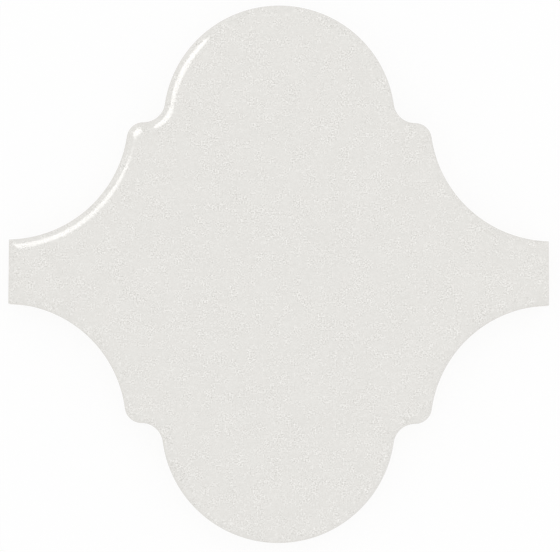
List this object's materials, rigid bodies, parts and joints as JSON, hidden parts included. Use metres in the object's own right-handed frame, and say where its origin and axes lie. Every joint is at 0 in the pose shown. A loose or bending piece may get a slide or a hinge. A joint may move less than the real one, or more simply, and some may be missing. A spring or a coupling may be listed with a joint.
{
  "type": "arabesque wall tile",
  "caption": "Glossy white glazed ceramic wall tile with an arabesque outline of round lobes, scooped flanks and short flat ends, rolled glazed edges and a grooved back.",
  "frame": {"origin": "centre of the back, on the plane of its ribs and border", "axes": "+Z out of the glazed face, +X towards one flat end, +Y towards one round lobe"},
  "size_m": [0.12, 0.1194, 0.009],
  "materials": {
    "glazed_tile": "glossy white glaze over the face and rolled edge, bare fired clay on the back"
  },
  "bodies": {
    "root": {"tile": "glazed_tile"}
  },
  "joints": []
}
